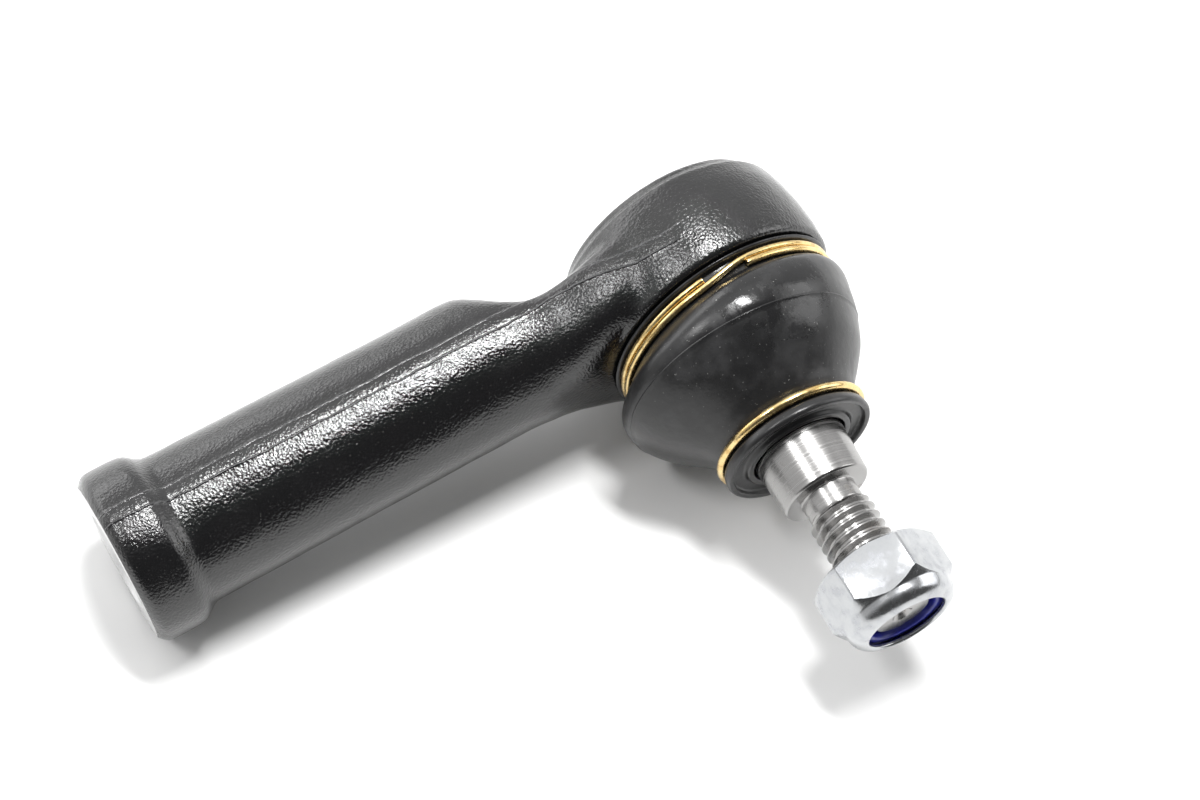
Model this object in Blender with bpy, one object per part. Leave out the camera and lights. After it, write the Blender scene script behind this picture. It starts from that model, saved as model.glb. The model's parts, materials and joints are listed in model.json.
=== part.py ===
"""Outer tie rod end: a forged housing with a threaded shank, a ball stud in its socket,
a rubber boot held by two wire rings, and a self-locking nut on the stud's thread.

The part lies on its side. The shank runs along -X and the stud along -Y, leaning a little
towards the shank. Every turned piece is built around its own local Z axis with the centre
of the ball at z = 0, the stud's end at +z and the closing plate at -z.
"""

from math import asin, copysign, cos, degrees, pi, radians, sin, sqrt

import bmesh
import bpy
from mathutils import Matrix, Vector

MM = 0.001

# Placing
BALL_CENTRE = Vector((37.3, 18.6, 19.8)) * MM  # puts the box's bottom centre at the origin
STUD_LEAN = radians(4.3)
FINE_SEGMENTS = 48
SEGMENTS = 40

# Housing: shank
SHANK_AXIS_Z = -8.2 * MM  # the shank's axis lies behind the ball's centre
SHANK_REACH = 94.5 * MM
SHANK_RADIUS = 11.5 * MM
COLLAR_RADIUS = 13.35 * MM
COLLAR_LENGTH = 8.6 * MM
SOCKET_RADIUS = 6.4 * MM
SOCKET_DEPTH = 58.0 * MM

# Housing: head
RIM_RADIUS = 19.35 * MM
RIM_Z = 3.05 * MM
BACK_RADIUS = 18.7 * MM
BACK_Z = -11.9 * MM
LIP_RADIUS = 17.4 * MM
LIP_MOUTH_RADIUS = 14.6 * MM
LIP_Z = -14.0 * MM
SPIGOT_RADIUS = 15.5 * MM
SPIGOT_Z = 8.0 * MM
CAVITY_RADIUS = 13.2 * MM
SEAT_CONE_Z = 1.6 * MM
THROAT_Z = 4.9 * MM
THROAT_RADIUS = 8.8 * MM
FLARE_RADIUS = 10.2 * MM
POCKET_RADIUS = 15.6 * MM
POCKET_Z = -11.5 * MM

# Inside the head
BALL_RADIUS = 9.5 * MM
BALL_GAP = 0.12 * MM
GAP = 0.3 * MM
SEAT_SPLIT_Z = -2.6 * MM
PAD_BACK_Z = -10.35 * MM
PAD_HOLE_RADIUS = 3.2 * MM
SPRING_THICKNESS = 0.5 * MM
SPRING_BORE_RADIUS = 6.0 * MM
PLATE_THICKNESS = 1.5 * MM

# Stud
NECK_RADIUS = 5.4 * MM
TAPER_START_Z = 18.0 * MM
PIN_END_Z = 35.75 * MM
PIN_END_RADIUS = 6.76 * MM
TAPER_PER_MM = 0.05  # radius lost for each millimetre towards the thread
RELIEF_RADIUS = 4.25 * MM
RELIEF_LENGTH = 3.0 * MM
THREAD_RADIUS = 4.95 * MM
STUD_END_Z = 56.9 * MM

# Boot and rings
BELLY_SAG = 1.2 * MM
LIP_GROOVE_RADIUS = 17.3 * MM
NECK_GROOVE_RADIUS = 10.75 * MM
FLANGE_RADIUS = 11.87 * MM
FLANGE_Z = 27.8 * MM
UPPER_WIRE_RADIUS = 0.5 * MM
UPPER_RING_Z = 5.15 * MM
UPPER_RING_TURNS = 1.95
UPPER_RING_START = radians(103)
LOWER_WIRE_RADIUS = 0.68 * MM
LOWER_RING_Z = 25.0 * MM

# Nut
NUT_FLATS = 17.0 * MM
HEXAGON_TURN = radians(-15)
NUT_HEIGHT = 10.5 * MM
NUT_BACK_Z = 47.95 * MM
NUT_BORE_RADIUS = 5.05 * MM
NUT_MOUTH_RADIUS = 6.05 * MM
NUT_POCKET_RADIUS = 7.1 * MM
NUT_POCKET_LENGTH = 3.6 * MM


def clear_scene():
    for item in list(bpy.data.objects):
        bpy.data.objects.remove(item, do_unlink=True)


def make_material(name, colour, roughness, metallic):
    material = bpy.data.materials.new(name)
    material.use_nodes = True
    shader = material.node_tree.nodes["Principled BSDF"]
    shader.inputs["Base Color"].default_value = (*colour, 1.0)
    shader.inputs["Roughness"].default_value = roughness
    shader.inputs["Metallic"].default_value = metallic
    return material


def add_empty(name, parent=None, location=(0, 0, 0), rotation=(0, 0, 0)):
    empty = bpy.data.objects.new(name, None)
    bpy.context.scene.collection.objects.link(empty)
    empty.parent = parent
    empty.location = location
    empty.rotation_euler = rotation
    return empty


def add_object(name, mesh, parent, material=None):
    piece = bpy.data.objects.new(name, mesh)
    bpy.context.scene.collection.objects.link(piece)
    piece.parent = parent
    if material:
        mesh.materials.append(material)
    return piece


def finish_mesh(name, bm, smooth_angle=35):
    bmesh.ops.remove_doubles(bm, verts=bm.verts, dist=1e-7)
    bmesh.ops.recalc_face_normals(bm, faces=bm.faces)
    mesh = bpy.data.meshes.new(name)
    bm.to_mesh(mesh)
    bm.free()
    mesh.shade_smooth()
    mesh.set_sharp_from_angle(angle=radians(smooth_angle))
    return mesh


def turned_mesh(name, profile, segments=SEGMENTS, closed=True):
    """Spins a profile of (radius, z) points around Z. An open one starts and ends on the axis."""
    bm = bmesh.new()
    points = [bm.verts.new((radius, 0, z)) for radius, z in profile]
    edges = [bm.edges.new(pair) for pair in zip(points, points[1:])]
    if closed:
        edges.append(bm.edges.new((points[-1], points[0])))
    bmesh.ops.spin(bm, geom=points + edges, cent=(0, 0, 0), axis=(0, 0, 1), angle=2 * pi,
                   steps=segments, use_merge=True)
    return finish_mesh(name, bm)


def cutter(name, mesh, target, operation="DIFFERENCE"):
    """Joins or cuts the target with a guide that isn't a piece of its own."""
    guide = add_object(name, mesh, target.parent)
    guide.hide_render = True
    guide.display_type = "WIRE"
    modifier = target.modifiers.new(name, "BOOLEAN")
    modifier.operation = operation
    modifier.solver = "EXACT"
    modifier.object = guide
    return guide


def arc(centre, radius, start, end, steps):
    """Points on a circle of (radius, z), from one angle to another, in degrees."""
    angles = [radians(start + (end - start) * step / steps) for step in range(steps + 1)]
    return [(centre[0] + radius * cos(angle), centre[1] + radius * sin(angle)) for angle in angles]


def smoothstep(low, high, value):
    part = min(max((value - low) / (high - low), 0.0), 1.0)
    return part * part * (3 - 2 * part)


def shank_sections():
    """Stations from the open end to the head: x, reach to the back, front and sides, squareness.

    The back half of each ring is an ellipse. A squareness above 2 fills the corners of the
    front half, where the neck widens into the flat head.
    """
    end = -SHANK_REACH
    collar = COLLAR_RADIUS
    shank = SHANK_RADIUS
    round_stations = [
        (end, collar - 1.0 * MM),
        (end + 0.6 * MM, collar - 0.3 * MM),
        (end + 1.6 * MM, collar),
        (end + COLLAR_LENGTH - 2.4 * MM, collar),
        (end + COLLAR_LENGTH - 0.9 * MM, collar - 0.4 * MM),
        (end + COLLAR_LENGTH + 0.8 * MM, shank + 0.2 * MM),
        (end + COLLAR_LENGTH + 3.0 * MM, shank),
        (-60.0 * MM, shank - 0.1 * MM),
        (-40.0 * MM, shank - 0.15 * MM),
    ]
    neck_stations = [
        (-36.0, 11.5, 11.3, 11.3, 2.0),
        (-33.5, 10.9, 11.3, 11.3, 2.0),
        (-31.0, 8.9, 11.3, 11.2, 2.1),
        (-28.5, 6.2, 11.3, 11.2, 2.3),
        (-26.0, 3.7, 11.2, 11.3, 2.6),
        (-23.5, 2.1, 11.2, 11.7, 3.0),
        (-20.5, 1.5, 11.2, 12.9, 3.6),
        (-17.0, 1.8, 11.1, 14.7, 4.2),
        (-13.0, 2.6, 11.0, 16.0, 4.5),
        (-8.0, 3.2, 10.8, 16.8, 4.5),
    ]
    stations = [(x, radius, radius, radius, 2.0) for x, radius in round_stations]
    for x, back, front, side, squareness in neck_stations:
        stations.append((x * MM, back * MM, front * MM, side * MM, squareness))
    return stations


def rounded(value, squareness):
    """Sine or cosine pushed outwards, which squares off an ellipse."""
    return copysign(abs(value) ** (2 / squareness), value)


def shank_mesh():
    """Lofts the shank and the neck through rings that share the shank's axis."""
    bm = bmesh.new()
    rings = []
    for x, back, front, side, squareness in shank_sections():
        ring = []
        for step in range(SEGMENTS):
            angle = 2 * pi * (step + 0.5) / SEGMENTS
            reach, power = (front, squareness) if sin(angle) > 0 else (back, 2.0)
            across = side * rounded(cos(angle), power)
            along = reach * rounded(sin(angle), power)
            ring.append(bm.verts.new((x, across, SHANK_AXIS_Z + along)))
        rings.append([bm.edges.new((ring[i - 1], ring[i])) for i in range(SEGMENTS)])
    for first, second in zip(rings, rings[1:]):
        bmesh.ops.bridge_loops(bm, edges=first + second)
    bmesh.ops.holes_fill(bm, edges=rings[0] + rings[-1], sides=SEGMENTS)
    return finish_mesh("shank", bm)


def head_profile():
    """Outside of the head, from the axis at the closed end round to the axis at the stud's end."""
    return [
        (0, LIP_Z),
        (LIP_RADIUS - 0.9 * MM, LIP_Z),
        (LIP_RADIUS - 0.2 * MM, LIP_Z + 0.5 * MM),
        (LIP_RADIUS, BACK_Z - 0.5 * MM),
        (BACK_RADIUS - 0.3 * MM, BACK_Z),
        (BACK_RADIUS, BACK_Z + 0.3 * MM),
        (BACK_RADIUS + 0.75 * MM, BACK_Z + 0.25 * (RIM_Z - BACK_Z)),
        (RIM_RADIUS + 0.45 * MM, BACK_Z + 0.55 * (RIM_Z - BACK_Z)),
        (RIM_RADIUS + 0.35 * MM, BACK_Z + 0.8 * (RIM_Z - BACK_Z)),
        (RIM_RADIUS, RIM_Z - 0.4 * MM),
        (RIM_RADIUS - 0.4 * MM, RIM_Z),
        (SPIGOT_RADIUS, RIM_Z),
        (SPIGOT_RADIUS, SPIGOT_Z - 0.5 * MM),
        (SPIGOT_RADIUS - 0.5 * MM, SPIGOT_Z),
        (0, SPIGOT_Z),
    ]


def cavity_profile():
    """Hollow of the head: throat, seat cone, main bore, plate pocket and the crimped mouth."""
    over = 1.0 * MM
    flare_over = FLARE_RADIUS + over * (FLARE_RADIUS - THROAT_RADIUS) / (SPIGOT_Z - THROAT_Z)
    return [
        (0, SPIGOT_Z + over),
        (flare_over, SPIGOT_Z + over),
        (THROAT_RADIUS, THROAT_Z),
        (10.5 * MM, THROAT_Z - 0.05 * MM),
        (CAVITY_RADIUS, SEAT_CONE_Z),
        (CAVITY_RADIUS, POCKET_Z),
        (POCKET_RADIUS, POCKET_Z),
        (POCKET_RADIUS, POCKET_Z - PLATE_THICKNESS - 0.5 * MM),
        (LIP_MOUTH_RADIUS, POCKET_Z - PLATE_THICKNESS - 0.55 * MM),
        (LIP_MOUTH_RADIUS + 0.2 * MM, LIP_Z - over),
        (0, LIP_Z - over),
    ]


def socket_mesh():
    """Tapping hole of the shank with its countersunk mouth and drill point, along X."""
    end = -SHANK_REACH
    profile = [
        (0, end - 1.0 * MM),
        (SOCKET_RADIUS + 2.2 * MM, end - 1.0 * MM),
        (SOCKET_RADIUS, end + 1.2 * MM),
        (SOCKET_RADIUS, end + SOCKET_DEPTH),
        (0, end + SOCKET_DEPTH + 3.6 * MM),
    ]
    mesh = turned_mesh("socket", profile, segments=32, closed=False)
    mesh.transform(Matrix.Translation((0, 0, SHANK_AXIS_Z)) @ Matrix.Rotation(pi / 2, 4, "Y"))
    return mesh


def build_housing(parent):
    paint = make_material("black_coat", (0.015, 0.015, 0.016), 0.35, 0.0)
    housing = add_object("housing", shank_mesh(), parent, paint)
    head = turned_mesh("head", head_profile(), segments=FINE_SEGMENTS, closed=False)
    cutter("head_join", head, housing, "UNION")
    cavity = turned_mesh("cavity", cavity_profile(), segments=FINE_SEGMENTS, closed=False)
    cutter("cavity_cut", cavity, housing)
    cutter("socket_cut", socket_mesh(), housing)


def build_ball_seat(parent):
    """Plastic half shell on the stud's side of the ball."""
    acetal = make_material("acetal", (0.78, 0.77, 0.72), 0.45, 0.0)
    inner = BALL_RADIUS + BALL_GAP
    outer = CAVITY_RADIUS - GAP
    front_z = THROAT_Z - 0.35 * MM
    back = sqrt(inner**2 - SEAT_SPLIT_Z**2)
    bowl = []
    for step in range(9):
        z = SEAT_SPLIT_Z + (front_z - SEAT_SPLIT_Z) * step / 8
        bowl.append((sqrt(inner**2 - z**2), z))
    profile = [(outer, SEAT_SPLIT_Z)] + [(back + 0.4 * MM, SEAT_SPLIT_Z)] + bowl
    profile += [(10.15 * MM, front_z), (outer, SEAT_CONE_Z - 0.15 * MM)]
    add_object("ball_seat", turned_mesh("ball_seat", profile), parent, acetal)


def build_pressure_pad(parent):
    """Plastic cup behind the ball, pushed against it by the spring."""
    acetal = make_material("pad_acetal", (0.70, 0.69, 0.64), 0.45, 0.0)
    inner = BALL_RADIUS + BALL_GAP
    outer = CAVITY_RADIUS - GAP
    front_z = SEAT_SPLIT_Z - GAP
    start = degrees(asin(PAD_HOLE_RADIUS / inner)) - 90
    end = degrees(asin(front_z / inner))
    bowl = arc((0, 0), inner, start, end, 8)
    profile = [(outer, front_z), (outer, PAD_BACK_Z), (PAD_HOLE_RADIUS, PAD_BACK_Z), *bowl]
    add_object("pressure_pad", turned_mesh("pressure_pad", profile), parent, acetal)


def build_preload_spring(parent):
    """Shallow cone washer between the pad and the closing plate."""
    steel = make_material("spring_steel", (0.42, 0.43, 0.45), 0.35, 1.0)
    inner_z = PAD_BACK_Z - 0.1 * MM
    outer_z = POCKET_Z + SPRING_THICKNESS + 0.1 * MM
    outer = CAVITY_RADIUS - GAP
    profile = [
        (SPRING_BORE_RADIUS, inner_z - SPRING_THICKNESS),
        (SPRING_BORE_RADIUS, inner_z),
        (outer, outer_z),
        (outer, outer_z - SPRING_THICKNESS),
    ]
    add_object("preload_spring", turned_mesh("preload_spring", profile), parent, steel)


def build_closing_plate(parent):
    """Pressed steel disc crimped into the back of the head, with a shallow dish."""
    plate = make_material("plate_steel", (0.32, 0.33, 0.34), 0.4, 1.0)
    radius = POCKET_RADIUS - 0.2 * MM
    front_z = POCKET_Z - 0.2 * MM
    back_z = front_z - PLATE_THICKNESS
    dish = 0.35 * MM
    profile = [
        (0, back_z + dish),
        (8.0 * MM, back_z + dish),
        (9.6 * MM, back_z),
        (radius, back_z),
        (radius, front_z),
        (10.4 * MM, front_z),
        (8.8 * MM, front_z + dish),
        (0, front_z + dish),
    ]
    add_object("closing_plate", turned_mesh("closing_plate", profile, closed=False), parent, plate)


def stud_profile():
    """Ball with a flat back, neck, taper, relief and thread, down to the chamfered end."""
    flat = 4.0 * MM
    flat_angle = degrees(asin(flat / BALL_RADIUS)) - 90
    neck_angle = 90 - degrees(asin(NECK_RADIUS / BALL_RADIUS))
    taper_radius = PIN_END_RADIUS + (PIN_END_Z - TAPER_START_Z) * TAPER_PER_MM
    relief_z = PIN_END_Z + RELIEF_LENGTH
    ball = arc((0, 0), BALL_RADIUS, flat_angle, neck_angle, 16)
    return [
        (0, ball[0][1]),
        *ball,
        (NECK_RADIUS, 11.5 * MM),
        (taper_radius - 0.7 * MM, TAPER_START_Z - 1.6 * MM),
        (taper_radius, TAPER_START_Z),
        (PIN_END_RADIUS, PIN_END_Z - 0.3 * MM),
        (PIN_END_RADIUS - 0.3 * MM, PIN_END_Z),
        (RELIEF_RADIUS, PIN_END_Z),
        (RELIEF_RADIUS, relief_z),
        (THREAD_RADIUS, relief_z + 0.7 * MM),
        (THREAD_RADIUS, STUD_END_Z - 0.9 * MM),
        (THREAD_RADIUS - 0.9 * MM, STUD_END_Z),
        (0, STUD_END_Z),
    ]


def build_ball_stud(parent):
    steel = make_material("bright_steel", (0.62, 0.62, 0.62), 0.22, 1.0)
    mesh = turned_mesh("ball_stud", stud_profile(), closed=False)
    add_object("ball_stud", mesh, parent, steel)


def boot_outer_profile():
    """Outside of the boot from its top lip over the belly to the flange on the stud."""
    groove_start = UPPER_RING_Z - 1.15 * MM
    groove_end = UPPER_RING_Z + 1.15 * MM
    lip = [
        (18.5 * MM, RIM_Z + GAP),
        (18.7 * MM, RIM_Z + 0.6 * MM),
        (18.4 * MM, groove_start - 0.15 * MM),
        (LIP_GROOVE_RADIUS, groove_start),
        (LIP_GROOVE_RADIUS, groove_end),
    ]
    belly = [
        (18.3, 6.9), (19.1, 8.1), (19.6, 9.7), (19.6, 11.4), (19.1, 13.2), (18.1, 15.2),
        (16.8, 17.2), (15.2, 19.0), (13.7, 20.6), (12.4, 22.0), (11.5, 23.3),
    ]
    neck = [
        (NECK_GROOVE_RADIUS, LOWER_RING_Z - 0.85 * MM),
        (NECK_GROOVE_RADIUS, LOWER_RING_Z + 0.85 * MM),
        (FLANGE_RADIUS - 0.2 * MM, LOWER_RING_Z + 1.15 * MM),
        (FLANGE_RADIUS, FLANGE_Z - 0.5 * MM),
        (FLANGE_RADIUS - 0.3 * MM, FLANGE_Z),
    ]
    return lip + [(radius * MM, z * MM) for radius, z in belly] + neck


def boot_inner_profile():
    """Inside of the boot from the flange's face back to the bead on the housing."""
    pin = PIN_END_RADIUS + (PIN_END_Z - FLANGE_Z) * TAPER_PER_MM
    face = [
        (FLANGE_RADIUS - 1.0 * MM, FLANGE_Z - 0.1 * MM),
        (FLANGE_RADIUS - 1.2 * MM, FLANGE_Z - 0.9 * MM),
        (8.8 * MM, FLANGE_Z - 0.9 * MM),
        (8.4 * MM, FLANGE_Z - 0.1 * MM),
        (pin + 0.35 * MM, FLANGE_Z - 0.1 * MM),
        (pin + 0.35 * MM, LOWER_RING_Z - 1.0 * MM),
        (9.4 * MM, LOWER_RING_Z - 1.6 * MM),
    ]
    belly = [
        (10.9, 21.0), (12.3, 19.6), (13.8, 18.0), (15.1, 16.4), (16.3, 14.6), (17.2, 13.0),
        (17.7, 11.3), (17.6, 9.8), (17.1, 8.5), (16.7, 7.8), (16.4, 7.2),
    ]
    bead = [
        (SPIGOT_RADIUS + GAP, 6.8 * MM),
        (SPIGOT_RADIUS + GAP, RIM_Z + GAP),
    ]
    return face + [(radius * MM, z * MM) for radius, z in belly] + bead


def build_boot(parent):
    """The boot follows the stud's lean, and its belly sags further towards the shank."""
    rubber = make_material("rubber", (0.03, 0.03, 0.032), 0.55, 0.0)
    profile = boot_outer_profile() + boot_inner_profile()
    mesh = turned_mesh("boot", profile)
    for vertex in mesh.vertices:
        height = vertex.co.z
        share = smoothstep(6.7 * MM, 13.0 * MM, height)
        sag = smoothstep(6.7 * MM, 11.0 * MM, height) * (1 - smoothstep(13 * MM, 23 * MM, height))
        vertex.co = Matrix.Rotation(-STUD_LEAN * share, 3, "Y") @ vertex.co
        vertex.co.x -= BELLY_SAG * sag
    add_object("boot", mesh, parent, rubber)


def wire_ring(name, parent, points, wire_radius, material):
    curve = bpy.data.curves.new(name, "CURVE")
    curve.dimensions = "3D"
    curve.bevel_depth = wire_radius
    curve.bevel_resolution = 2
    curve.use_fill_caps = True
    spline = curve.splines.new("POLY")
    spline.points.add(len(points) - 1)
    for target, point in zip(spline.points, points):
        target.co = (*point, 1.0)
    return add_object(name, curve, parent, material)


def coil_points(radius, middle_z, rise, turns, start, steps):
    """A coil that lies flat in its groove and steps across between its two ends."""
    points = []
    for step in range(steps + 1):
        turn = turns * step / steps
        angle = start + 2 * pi * turn
        across = smoothstep(turns - 1, 1, turn)
        points.append((radius * cos(angle), radius * sin(angle), middle_z + rise * (across - 0.5)))
    return points


def build_rings(head_axis, stud_axis):
    """The upper ring is wound nearly twice round. The lower one is a split ring."""
    brass = make_material("gold_wire", (0.72, 0.50, 0.18), 0.28, 1.0)
    radius = LIP_GROOVE_RADIUS + UPPER_WIRE_RADIUS + 0.1 * MM
    rise = 2 * UPPER_WIRE_RADIUS + 0.06 * MM
    points = coil_points(radius, UPPER_RING_Z, rise, UPPER_RING_TURNS, UPPER_RING_START, 78)
    wire_ring("boot_upper_ring", head_axis, points, UPPER_WIRE_RADIUS, brass)
    radius = NECK_GROOVE_RADIUS + LOWER_WIRE_RADIUS + 0.08 * MM
    points = coil_points(radius, LOWER_RING_Z, 0, 0.985, radians(-86), 36)
    wire_ring("boot_lower_ring", stud_axis, points, LOWER_WIRE_RADIUS, brass)


def nut_profile():
    """Turned shape of the nut: chamfered seat, domed collar, rolled mouth, pocket and bore."""
    corner = NUT_FLATS / sqrt(3)
    back = NUT_BACK_Z
    front = back + NUT_HEIGHT
    pocket = front - NUT_POCKET_LENGTH
    dome = arc((6.1 * MM, front - 2.3 * MM), 2.3 * MM, 20, 85, 4)
    return [
        (NUT_BORE_RADIUS + 0.5 * MM, back),
        (8.2 * MM, back),
        (corner + 0.2 * MM, back + 1.1 * MM),
        (corner + 0.2 * MM, front - 4.6 * MM),
        (8.45 * MM, front - 2.7 * MM),
        *dome,
        (NUT_MOUTH_RADIUS, front - 0.1 * MM),
        (NUT_MOUTH_RADIUS, front - 0.7 * MM),
        (NUT_POCKET_RADIUS, front - 0.9 * MM),
        (NUT_POCKET_RADIUS, pocket),
        (NUT_BORE_RADIUS, pocket),
        (NUT_BORE_RADIUS, back + 0.5 * MM),
    ]


def build_nut(parent):
    """The hexagon trims the turned shape, which leaves the curved edges of its chamfers."""
    zinc = make_material("zinc_plate", (0.72, 0.73, 0.74), 0.3, 1.0)
    nut = add_object("lock_nut", turned_mesh("lock_nut", nut_profile()), parent, zinc)
    bm = bmesh.new()
    bmesh.ops.create_cone(bm, cap_ends=True, segments=6, radius1=NUT_FLATS / sqrt(3),
                          radius2=NUT_FLATS / sqrt(3), depth=NUT_HEIGHT + 2 * MM)
    bmesh.ops.rotate(bm, verts=bm.verts, matrix=Matrix.Rotation(HEXAGON_TURN, 3, "Z"))
    bmesh.ops.translate(bm, verts=bm.verts, vec=(0, 0, NUT_BACK_Z + NUT_HEIGHT / 2))
    cutter("hexagon", finish_mesh("hexagon", bm), nut, "INTERSECT")


def build_insert(parent):
    """Nylon ring that grips the thread, trapped under the nut's rolled mouth."""
    nylon = make_material("blue_nylon", (0.03, 0.04, 0.30), 0.4, 0.0)
    front = NUT_BACK_Z + NUT_HEIGHT
    outer = NUT_POCKET_RADIUS - 0.2 * MM
    profile = [
        (NUT_BORE_RADIUS, front - NUT_POCKET_LENGTH + 0.2 * MM),
        (outer, front - NUT_POCKET_LENGTH + 0.2 * MM),
        (outer, front - 1.2 * MM),
        (NUT_BORE_RADIUS + 0.1 * MM, front - 1.0 * MM),
    ]
    profile.reverse()
    add_object("nylon_insert", turned_mesh("nylon_insert", profile), parent, nylon)


def main():
    clear_scene()
    head_axis = add_empty("head_axis", location=BALL_CENTRE, rotation=(pi / 2, 0, 0))
    stud_axis = add_empty("stud_axis", parent=head_axis, rotation=(0, -STUD_LEAN, 0))
    build_housing(head_axis)
    build_ball_seat(head_axis)
    build_pressure_pad(head_axis)
    build_preload_spring(head_axis)
    build_closing_plate(head_axis)
    build_boot(head_axis)
    build_rings(head_axis, stud_axis)
    build_ball_stud(stud_axis)
    build_nut(stud_axis)
    build_insert(stud_axis)


main()
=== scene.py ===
import json
from math import asin, copysign, cos, pi, radians, sin, sqrt

import bmesh
import bpy
from mathutils import Matrix, Vector, noise


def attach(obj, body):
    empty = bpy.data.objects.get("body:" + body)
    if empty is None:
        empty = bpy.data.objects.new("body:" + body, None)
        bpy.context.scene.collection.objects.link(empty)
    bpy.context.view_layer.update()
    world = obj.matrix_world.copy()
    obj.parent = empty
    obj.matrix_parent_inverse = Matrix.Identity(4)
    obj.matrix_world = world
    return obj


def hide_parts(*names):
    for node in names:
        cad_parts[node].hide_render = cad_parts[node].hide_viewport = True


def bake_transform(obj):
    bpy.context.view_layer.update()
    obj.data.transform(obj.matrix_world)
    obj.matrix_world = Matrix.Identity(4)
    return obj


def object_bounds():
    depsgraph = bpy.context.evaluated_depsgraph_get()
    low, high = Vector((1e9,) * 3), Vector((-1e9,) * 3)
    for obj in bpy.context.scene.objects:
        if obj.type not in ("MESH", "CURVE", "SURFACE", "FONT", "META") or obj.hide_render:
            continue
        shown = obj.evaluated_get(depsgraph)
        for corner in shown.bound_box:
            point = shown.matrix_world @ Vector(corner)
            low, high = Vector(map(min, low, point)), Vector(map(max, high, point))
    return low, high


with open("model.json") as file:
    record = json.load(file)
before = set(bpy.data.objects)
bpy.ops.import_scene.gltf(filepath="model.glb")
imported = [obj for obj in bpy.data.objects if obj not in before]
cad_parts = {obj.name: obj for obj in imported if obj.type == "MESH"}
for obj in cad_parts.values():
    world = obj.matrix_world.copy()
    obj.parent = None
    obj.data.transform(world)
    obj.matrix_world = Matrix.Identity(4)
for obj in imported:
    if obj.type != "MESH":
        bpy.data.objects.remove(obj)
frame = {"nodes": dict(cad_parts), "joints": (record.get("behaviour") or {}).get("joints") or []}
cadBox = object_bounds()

mm = 0.001
scene = bpy.context.scene
joints = {joint["name"]: joint for joint in frame["joints"]}
ballCentre = Vector(joints["stud_swing"]["pos_m"])
studLean = asin(-joints["stud_spin"]["axis"][0])
shankOffset = 8.2  # how far the shank's axis lies behind the ball's centre, in mm

# in both frames z runs from the closing plate (-) to the stud's end (+), with the ball's centre at 0
headFrame = Matrix.Translation(ballCentre) @ Matrix.Rotation(pi / 2, 4, "X")
studFrame = headFrame @ Matrix.Rotation(-studLean, 4, "Y")


# mesh tools that every piece shares

def smoothStep(low, high, value):
    part = min(max((value - low) / (high - low), 0.0), 1.0)
    return part * part * (3 - 2 * part)


def roundCorners(points, closed, steps=3):
    # points are (radius, z) or (radius, z, how far the rounding reaches along each side), in mm
    outline = []
    count = len(points)
    for i, point in enumerate(points):
        here = Vector(point[:2])
        reach = point[2] if len(point) > 2 else 0
        if not reach or (not closed and i in (0, count - 1)):
            outline.append(here)
            continue
        before = Vector(points[i - 1][:2]) - here
        after = Vector(points[(i + 1) % count][:2]) - here
        start = here + before.normalized() * min(reach, before.length * 0.45)
        end = here + after.normalized() * min(reach, after.length * 0.45)
        for step in range(steps + 1):
            t = step / steps
            outline.append(start * (1 - t) ** 2 + here * 2 * t * (1 - t) + end * t * t)
    return outline


def smoothCurve(points, steps):
    # a curve through all the points, for moulded and forged outlines
    values = [Vector(point) for point in points]
    values = [values[0] * 2 - values[1], *values, values[-1] * 2 - values[-2]]
    curve = []
    for a, b, c, d in zip(values, values[1:], values[2:], values[3:]):
        for step in range(steps):
            t = step / steps
            curve.append(0.5 * (2 * b + (c - a) * t + (2 * a - 5 * b + 4 * c - d) * t ** 2
                                + (3 * b - a - 3 * c + d) * t ** 3))
    return curve + [values[-2]]


def turn(outline, steps, closed=True):
    # spins an outline of (radius, z) in mm round the local z axis
    bm = bmesh.new()
    verts = [bm.verts.new((x * mm, 0, z * mm)) for x, z in outline]
    edges = [bm.edges.new(pair) for pair in zip(verts, verts[1:])]
    if closed:
        edges.append(bm.edges.new((verts[-1], verts[0])))
    bmesh.ops.spin(bm, geom=verts + edges, cent=(0, 0, 0), axis=(0, 0, 1), angle=2 * pi,
                   steps=steps, use_merge=True)
    bmesh.ops.remove_doubles(bm, verts=bm.verts, dist=1e-7)
    bmesh.ops.recalc_face_normals(bm, faces=bm.faces)
    return bm


def makePiece(name, bm, place=Matrix(), sharp=35):
    bmesh.ops.transform(bm, matrix=place, verts=bm.verts)
    mesh = bpy.data.meshes.new(name)
    bm.to_mesh(mesh)
    bm.free()
    mesh.shade_smooth()
    mesh.set_sharp_from_angle(angle=radians(sharp))
    piece = bpy.data.objects.new(name, mesh)
    scene.collection.objects.link(piece)
    return piece


def applyModifiers(piece):
    bpy.context.view_layer.update()
    depsgraph = bpy.context.evaluated_depsgraph_get()
    mesh = bpy.data.meshes.new_from_object(piece.evaluated_get(depsgraph))
    piece.modifiers.clear()
    piece.data = mesh


def combine(piece, tool, operation):
    # joins, cuts or trims a piece with a tool, which is then thrown away
    cut = piece.modifiers.new("cut", "BOOLEAN")
    cut.operation = operation
    cut.solver = "EXACT"
    cut.material_mode = "TRANSFER"
    cut.object = tool
    applyModifiers(piece)
    bpy.data.objects.remove(tool)


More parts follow.
